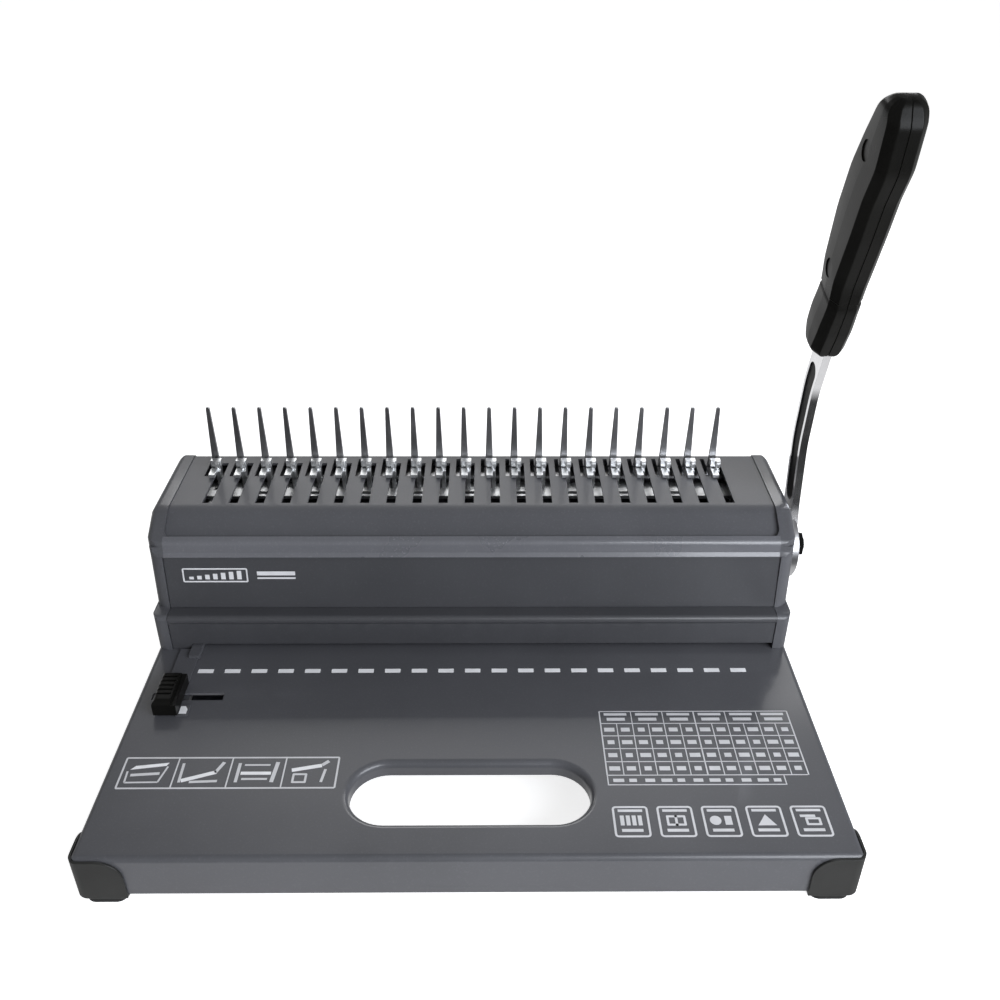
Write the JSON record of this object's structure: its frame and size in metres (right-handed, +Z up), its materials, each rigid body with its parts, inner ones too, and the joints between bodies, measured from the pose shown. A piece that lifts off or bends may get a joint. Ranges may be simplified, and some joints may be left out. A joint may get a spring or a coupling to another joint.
{
  "type": "comb binding machine",
  "caption": "Desktop comb binding machine: folded steel base with a carry slot, slotted punch housing, upright comb fingers and a side lever with a plastic grip.",
  "frame": {"origin": "on the table, under the centre of the bounding box, 6 mm right of the base's own centre because the lever stands out on the right", "axes": "+X to the lever's side, +Y to the back of the machine, +Z up"},
  "size_m": [0.3616, 0.2346, 0.3196],
  "materials": {
    "paint_grey": "satin",
    "paint_dark": "satin",
    "plastic_black": "satin",
    "rubber_black": "matte",
    "chrome_bright": "polished",
    "brass_plain": "satin",
    "steel_plain": "satin"
  },
  "bodies": {
    "housing": {"base_pan": "paint_grey", "bottom_plate": "paint_dark", "bottom_screws": "steel_plain", "corner_cap_fl": "plastic_black", "corner_cap_fr": "plastic_black", "corner_cap_rl": "plastic_black", "corner_cap_rr": "plastic_black", "foot_fl": "rubber_black", "foot_fr": "rubber_black", "foot_rl": "rubber_black", "foot_rr": "rubber_black", "foot_screws": "steel_plain", "lower_plate": "paint_dark", "front_panel": "paint_grey", "front_rail": "paint_grey", "top_cover": "paint_grey", "rear_panel": "paint_grey", "panel_screws": "steel_plain", "cap_left": "paint_grey", "cap_right": "paint_grey", "frame_left": "steel_plain", "frame_right": "steel_plain", "frame_screws": "steel_plain", "bushing_left": "brass_plain", "bushing_right": "brass_plain", "die_plate": "steel_plain", "punch_guide": "steel_plain", "guide_rods": "steel_plain", "punch_springs": "steel_plain", "rail_left": "paint_dark", "rail_right": "paint_dark", "comb_bar": "steel_plain", "comb_fingers": "steel_plain"},
    "edge_guide": {"guide_arm": "paint_grey", "guide_knob": "plastic_black", "guide_clamp": "steel_plain", "guide_screw": "steel_plain"},
    "chip_drawer": {"chip_tray": "plastic_black"},
    "punch": {"punch_bar": "steel_plain", "punch_pins": "chrome_bright", "punch_rack_left": "steel_plain", "punch_rack_right": "steel_plain", "rack_screws": "steel_plain"},
    "opener": {"opener_plate": "steel_plain", "opener_hooks": "chrome_bright", "opener_rack_left": "steel_plain", "opener_rack_right": "steel_plain"},
    "handle": {"main_shaft": "steel_plain", "punch_pinion_left": "steel_plain", "punch_pinion_right": "steel_plain", "opener_sector_left": "steel_plain", "opener_sector_right": "steel_plain", "hub": "paint_dark", "lever": "chrome_bright", "grip_inner": "plastic_black", "grip_outer": "plastic_black", "grip_screws": "steel_plain", "shaft_nut": "steel_plain"}
  },
  "joints": [
    {"name": "handle_pivot", "type": "hinge", "parent": "housing", "child": "handle", "pos_m": [0.168, 0.0637, 0.073], "axis": [1, 0, 0], "range_deg": [0, 80], "stiffness_Nm_per_rad": 0.25, "springref_deg": -45.84},
    {"name": "punch_slide", "type": "slide", "parent": "housing", "child": "punch", "axis": [0, 0, -1], "range_m": [0, 0.0091], "deforming": ["punch_springs"]},
    {"name": "opener_slide", "type": "slide", "parent": "housing", "child": "opener", "axis": [0, -1, 0], "range_m": [0, 0.0182]},
    {"name": "edge_guide_slide", "type": "slide", "parent": "housing", "child": "edge_guide", "axis": [1, 0, 0], "range_m": [0, 0.0215]},
    {"name": "chip_tray_slide", "type": "slide", "parent": "housing", "child": "chip_drawer", "axis": [-1, 0, 0], "range_m": [0, 0.25]}
  ],
  "couplings": [
    {"joint": "punch_slide", "follows": "handle_pivot", "m_per_rad": 0.0065},
    {"joint": "opener_slide", "follows": "handle_pivot", "m_per_rad": 0.013}
  ]
}
